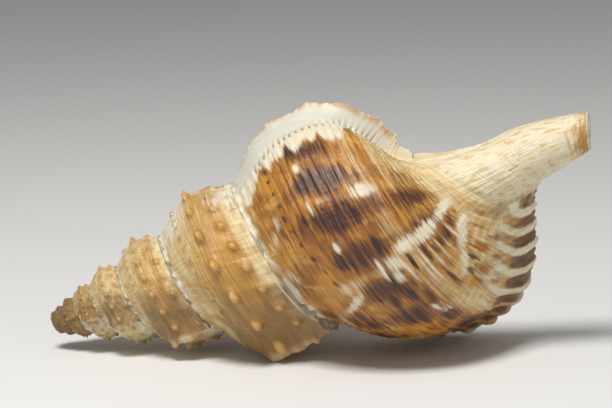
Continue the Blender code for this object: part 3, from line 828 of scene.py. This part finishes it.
# a rough white crust lies along the seams, and the canal's end and the flange's edge are worn
CRUST_MEAN = 0.80
CRUST_SWING = 0.6
CRUST_GRAIN = (55.0, 30.0)
CANAL_EDGE = (2.955, 2.985)
RIM_SHARE = 0.10
RIM_START = (0.02, 0.12)
crust = CRUST_MEAN + CRUST_SWING * wander(at_turn * CRUST_GRAIN[0], at_place * CRUST_GRAIN[1])
pale = np.maximum(pale, seam_line(at_turn, at_place) * crust)
pale = np.maximum(pale, between(at_place, CANAL_EDGE))
on_rim = bell(at_turn - FLANGE_TURN, RIM_SHARE * curve(at_place, FLANGE_FALL)[:, 0])
on_rim = on_rim * between(at_place, RIM_START) * (at_place < FLANGE_END)

# heights that count as a full crest and a full nodule, and how far the lines run on down neck and canal
FULL_CREST = 0.2
FULL_NODULE = 0.075
WORN_TURNS = (-4.9, -3.1)
LINES_DOWN_NECK = 3.5
LINES_DOWN_CANAL = 0.78
down_neck = np.clip(at_place - NECK_PLACE, 0.0, 2.0 - NECK_PLACE)
down_canal = np.clip(at_place - 2.0, 0.0, 1.0)
KEPT = {
    "turn": at_turn,
    "crest": np.clip(crests(at_turn, at_place) / FULL_CREST, 0.0, 1.0),
    "lump": np.clip(nodules(at_turn, at_place) / FULL_NODULE, 0.0, 1.0),
    "lining": lining,
    "ochre": ochre,
    "brown": brown,
    "dark": dark,
    "bars": bars,
    "rim": on_rim,
    "pale": pale,
    "grey_and_shade": grey_and_shade,
    "pit_shade": np.clip(pits(at_turn, at_place) / PIT_DEPTH, 0.0, 1.0),
    "hollow": on_flange(at_turn, at_place),
    "old": 1 - between(at_turn, WORN_TURNS),
    "body": on_body,
    "line": cord_line(at_turn, at_place) + LINES_DOWN_NECK * down_neck - LINES_DOWN_CANAL * down_canal,
}
for name, values in KEPT.items():
    cut_mesh.attributes.new(name, "FLOAT", "POINT").data.foreach_set("value", values.astype(np.float32))

# How the shell lies at rest: on the edge of the new lip, on the youngest old lip of the spire and on a
# nodule just after that, its mouth turned away. Location in metres, turns in radians.
LOCATION = (-0.069868, 0.002192, 0.006748)
ROTATION = (0.37822, -1.2241, 2.74185)
rest = Matrix.Translation(LOCATION) @ Euler(ROTATION).to_matrix().to_4x4()
cut_mesh.transform(rest)

# Aragonite, worn by the sea and kept dry: satin, not glossy, and rubbed pale on its high places.
# Its colours lie in lines along the cords, broken into bars where the animal paused. The aragonite of
# shells bends light by about 1.53 to 1.68. The cords, rings and threads are shares of the bump's depth,
# about a quarter of a millimetre.
ARAGONITE_IOR = 1.55
SMOOTHEST = 0.36
ROUGHEST = 0.60
RING_HEIGHT = 0.8
THREAD_HEIGHT = 0.5
WORN_HEIGHT = 2.5
BUMP_DEPTH = 0.00026
SMOOTH = {"interpolation_type": "SMOOTHSTEP"}


def linear(colour):
    """A colour given as sRGB hex, as linear numbers."""
    shares = [int(colour[k:k + 2], 16) / 255 for k in (1, 3, 5)]
    return tuple(c / 12.92 if c <= 0.04045 else ((c + 0.055) / 1.055) ** 2.4 for c in shares) + (1.0,)


def add(tree, kind, settings, links):
    """Adds a node with its settings, and its inputs given as values or as other nodes' outputs."""
    made = tree.nodes.new("ShaderNode" + kind)
    for name, value in settings.items():
        setattr(made, name, value)
    for socket, value in links.items():
        if isinstance(value, bpy.types.Node):
            value = next(output for output in value.outputs if output.enabled)
        if isinstance(value, bpy.types.NodeSocket):
            tree.links.new(value, made.inputs[socket])
        else:
            made.inputs[socket].default_value = value
    return made


aragonite = bpy.data.materials.new("worn_aragonite")
aragonite.use_nodes = True
tree = aragonite.node_tree
coat = tree.nodes["Principled BSDF"]
READ = ("turn", "line", "crest", "lump", "lining", "brown", "dark", "bars", "pale", "grey_and_shade", "old", "body",
        "pit_shade", "hollow", "rim", "ochre")
turn, line, crest, lump, lined, brown, dark, bars, pale, grey_and_shade, old, body, pit_shade, hollow, rim, ochre = (
    add(tree, "Attribute", {"attribute_type": "GEOMETRY", "attribute_name": name}, {}).outputs["Fac"]
    for name in READ
)
spot = add(tree, "CombineXYZ", {}, {0: turn, 1: line})


def drawn(per_turn, per_place, seed, detail=2.0):
    """Mottling drawn out along the coil or across it, by how many grains there are in a turn and a place."""
    scaled = add(tree, "VectorMath", {"operation": "MULTIPLY_ADD"},
                 {0: spot, 1: (per_turn, per_place, 1.0), 2: (0.0, 0.0, seed)})
    return add(tree, "TexNoise", {}, {"Vector": scaled, "Scale": 1.0, "Detail": detail})


def broken(mask, lines, much, low, high):
    """A mask that sets in between two limits, with its edge broken up along the lines."""
    shifted = add(tree, "Math", {"operation": "MULTIPLY_ADD"}, {0: lines, 1: much, 2: mask})
    return add(tree, "MapRange", SMOOTH, {0: shifted, 1: low + 0.5 * much, 2: high + 0.5 * much})


def coats(ground, *layers):
    """A ground with coats over it, each given as colour, strength, mask and the limits where that sets in."""
    colour = linear(ground) if isinstance(ground, str) else ground
    for over, strength, mask, *limits in layers:
        if limits:
            mask = add(tree, "MapRange", SMOOTH, {0: mask, 1: limits[0], 2: limits[1]})
        share = add(tree, "Math", {"operation": "MULTIPLY"}, {0: mask, 1: strength})
        over = linear(over) if isinstance(over, str) else over
        colour = add(tree, "Mix", {"data_type": "RGBA"}, {0: share, 6: colour, 7: over}).outputs[2]
    return colour


# grains in a turn and in a place: the cords are about 1 mm apart on the last whorl, with threads half as
# wide between them, and the growth rings cross them
cords = drawn(13.0, 46.0, 11.0)
threads = drawn(22.0, 92.0, 13.0)
rings = drawn(150.0, 5.0, 15.0)
flecks = drawn(60.0, 46.0, 17.0)
clouds = drawn(20.0, 8.0, 19.0)
mottle = drawn(26.0, 40.0, 21.0, 4.0)

# the shell's colours, from the palest ground to the darkest bars, each with its own mottling
cream = coats(
    "#DEC68D",
    ("#CBA65E", 1.0, clouds, 0.35, 0.7),
    ("#EBE0C4", 0.5, rings, 0.45, 0.65),
    ("#E9DFC2", 0.8, line, 1.62, 1.95),
)
honey = coats(
    "#CA9D49",
    ("#B07C34", 1.0, cords, 0.30, 0.70),
    ("#A67A45", 0.5, drawn(14.0, 5.0, 20.0), 0.48, 0.68),
)
tan = coats(
    "#C18427",
    ("#935717", 1.0, cords, 0.30, 0.70),
    ("#D79B38", 0.55, drawn(14.0, 6.0, 22.0), 0.50, 0.64),
    ("#DCAE58", 0.45, threads, 0.55, 0.72),
    ("#7C4715", 0.60, drawn(36.0, 4.0, 23.0), 0.48, 0.68),
    ("#E0B45F", 0.60, drawn(30.0, 3.0, 24.0), 0.56, 0.72),
)
liver = coats("#633823", ("#935A20", 0.9, threads, 0.47, 0.62))
umber = coats(
    "#43231A",
    ("#241311", 1.0, drawn(40.0, 24.0, 25.0), 0.42, 0.60),
    ("#7B4A22", 0.8, threads, 0.54, 0.64),
)
chestnut = coats("#70421F", ("#3E2110", 1.0, drawn(50.0, 12.0, 37.0), 0.40, 0.62))
white = coats("#E6E0CE", ("#D6C69F", 0.6, drawn(40.0, 20.0, 27.0), 0.5, 0.75), ("#ECDDB8", 0.45, body))
pale_edge = coats("#E4D2A8", ("#C18A43", 1.0, drawn(9.0, 14.0, 31.0), 0.45, 0.62))
corroded = coats("#C0934A", ("#6C4822", 1.0, flecks, 0.48, 0.60))
callus_white = coats("#EDE4D4", ("#D9B48C", 1.0, drawn(20.0, 30.0, 33.0), 0.55, 0.8))

# strengths that change over the shell: tan on the last whorl above its neck, dashes below it, painted shade
# round the feet and rubbed tops on the spire's nodules, and tan along the flange's edge
above_neck = add(tree, "MapRange", SMOOTH, {0: line, 1: 1.60, 2: 1.95, 3: 1.0, 4: 0.0})
on_neck = add(tree, "MapRange", SMOOTH, {0: line, 1: 1.55, 2: 1.85, 4: 0.62})
nodule_foot_shade = add(tree, "Math", {"operation": "MULTIPLY_ADD"}, {0: body, 1: -0.45, 2: 0.45})
rubbed = add(tree, "Math", {"operation": "MULTIPLY_ADD"}, {0: body, 1: -0.80, 2: 0.80})
along_rim = add(tree, "Math", {"operation": "MULTIPLY"}, {0: rim, 1: 0.85})
colour = coats(
    cream,
    (coats(honey, (tan, above_neck, body)), 1.0, broken(brown, cords, 0.9, 0.15, 0.75)),
    # painted shade, partly the shell's own grey-brown: before each old lip of the spire and in the hollow
    # under the canal, with a worn grey spot
    ("#82653C", 0.82, broken(grey_and_shade, clouds, 0.9, 0.1, 0.9)),
    (liver, 0.9, broken(dark, mottle, 1.2, 0.20, 0.66)),
    (umber, 0.92, broken(dark, mottle, 1.7, 0.46, 0.92)),
    ("#C7952F", on_neck, drawn(52.0, 9.0, 29.0, 3.0), 0.50, 0.68),
    (white, 0.94, broken(pale, cords, 1.6, 0.25, 0.85)),
    (umber, 1.0, dark, 1.15, 1.45),
    (chestnut, 0.9, broken(bars, threads, 0.5, 0.25, 0.70)),
    ("#B67A32", 0.8, ochre),
    # painted shade: a darker ring round each nodule's foot on the spire
    ("#9A6828", nodule_foot_shade, lump, 0.05, 0.40),
    ("#D3A75C", rubbed, lump, 0.45, 1.0),
    (pale_edge, 0.75, crest, 0.45, 0.85),
    # greyish white over the flange's smooth hollow face: partly that face's own tone, partly painted shade of
    # its concave
    ("#D6D2C3", 0.85, hollow),
    ("#C08C48", along_rim, drawn(9.0, 12.0, 39.0), 0.36, 0.56),
    # painted shade darkening the row of pits on the flange
    ("#75603F", 0.9, pit_shade, 0.15, 0.8),
    (corroded, 0.85, old),
    (callus_white, 1.0, lined),
)
tree.links.new(colour, coat.inputs["Base Color"])

roughness = add(tree, "MapRange", {}, {0: drawn(60.0, 20.0, 35.0), 3: SMOOTHEST, 4: ROUGHEST})
tree.links.new(roughness.outputs[0], coat.inputs["Roughness"])
coat.inputs["IOR"].default_value = ARAGONITE_IOR
height = cords
worn_height = add(tree, "Math", {"operation": "MULTIPLY"}, {0: old, 1: WORN_HEIGHT})
for grains, tall in ((rings, RING_HEIGHT), (threads, THREAD_HEIGHT), (flecks, worn_height)):
    height = add(tree, "Math", {"operation": "MULTIPLY_ADD"}, {0: grains, 1: tall, 2: height})
smooth = add(tree, "Math", {"operation": "MAXIMUM"}, {0: lined, 1: hollow})
textured = add(tree, "Math", {"operation": "SUBTRACT"}, {0: 1.0, 1: smooth})
height = add(tree, "Math", {"operation": "MULTIPLY"}, {0: height, 1: textured})
bump = add(tree, "Bump", {}, {"Height": height, "Distance": BUMP_DEPTH, "Strength": 1.0})
tree.links.new(bump.outputs[0], coat.inputs["Normal"])
shell.data.materials.clear()
shell.data.materials.append(aragonite)

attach(shell, "root")
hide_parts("shell")

# The floor: one sheet of pale matte paper, wide enough to run out of every view. The shell's lowest
# point touches it.
FLOOR_REACH = 3.0
PAPER_ROUGHNESS = 0.9

lowest = min(vertex.co.z for vertex in cut_mesh.vertices)
corners = [(x * FLOOR_REACH, y * FLOOR_REACH, lowest) for x, y in ((-1, -1), (1, -1), (1, 1), (-1, 1))]
floor_mesh = bpy.data.meshes.new("floor")
floor_mesh.from_pydata(corners, [], [(0, 1, 2, 3)])
floor = bpy.data.objects.new("floor", floor_mesh)
bpy.context.scene.collection.objects.link(floor)
paper = bpy.data.materials.new("matte_paper")
paper.use_nodes = True
sheet = paper.node_tree.nodes["Principled BSDF"]
sheet.inputs["Base Color"].default_value = linear("#E4E3E0")
sheet.inputs["Roughness"].default_value = PAPER_ROUGHNESS
floor_mesh.materials.append(paper)

# Light: one soft box high above the shell, in front of it and a little to the left, a wider and weaker
# one low at the right, and a dim white room. Each box is given by its name, place, width and watts.
ROOM_LIGHT = 0.24
MIDDLE = Vector((0.0, 0.0, 0.03))
BOXES = (
    ("key_light", (-0.10, -0.34, 0.74), 0.24, 6.1),
    ("fill_light", (0.7, -0.6, 0.30), 0.8, 0.9),
)

world = bpy.data.worlds.new("white_room")
bpy.context.scene.world = world
world.use_nodes = True
room = world.node_tree.nodes["Background"]
room.inputs["Color"].default_value = linear("#FFFFFF")
room.inputs["Strength"].default_value = ROOM_LIGHT
for name, place_at, width, power in BOXES:
    lamp = bpy.data.lights.new(name, "AREA")
    lamp.size = width
    lamp.energy = power
    holder = bpy.data.objects.new(name, lamp)
    holder.location = place_at
    holder.rotation_euler = (MIDDLE - Vector(place_at)).to_track_quat("-Z", "Y").to_euler()
    bpy.context.scene.collection.objects.link(holder)
bpy.context.scene.view_settings.view_transform = "Standard"

# The camera: a long lens, level with the shell's upper half, set by the direction of the coil's axis in
# the picture. The axis tilts up to the right and comes a little towards the camera. The picture's width,
# the focal length and the two aims are in pixels.
AXIS_TILT = math.radians(18.2)
AXIS_TOWARDS = math.radians(12.0)
AIM_ALONG = 0.0754
DISTANCE = 0.598
SENSOR_WIDTH = 36.0
PICTURE_WIDTH = 612
FOCAL_PIXELS = 2300
AIM_RIGHT = 14.5
AIM_DOWN = 31.4

axis = np.array((math.cos(AXIS_TOWARDS) * math.cos(AXIS_TILT),
                 math.cos(AXIS_TOWARDS) * math.sin(AXIS_TILT), math.sin(AXIS_TOWARDS)))
top = np.array((-math.sin(AXIS_TILT), math.cos(AXIS_TILT), 0.0))
picture = np.stack((top, np.cross(axis, top), axis))
right, up, towards = (rest.to_3x3() @ Vector(picture[:, k]) for k in range(3))
towards = (towards + (AIM_RIGHT * right - AIM_DOWN * up) / FOCAL_PIXELS).normalized()
right = up.cross(towards).normalized()
up = towards.cross(right)
lens = bpy.data.cameras.new("camera")
lens.sensor_width = SENSOR_WIDTH
lens.lens = lens.sensor_width * FOCAL_PIXELS / PICTURE_WIDTH
camera = bpy.data.objects.new("camera", lens)
aim = rest @ Vector((0.0, 0.0, AIM_ALONG))
stand = aim + DISTANCE * (rest.to_3x3() @ Vector(picture[:, 2]))
camera.matrix_world = Matrix.Translation(stand) @ Matrix((right, up, towards)).transposed().to_4x4()
bpy.context.scene.collection.objects.link(camera)
bpy.context.scene.camera = camera
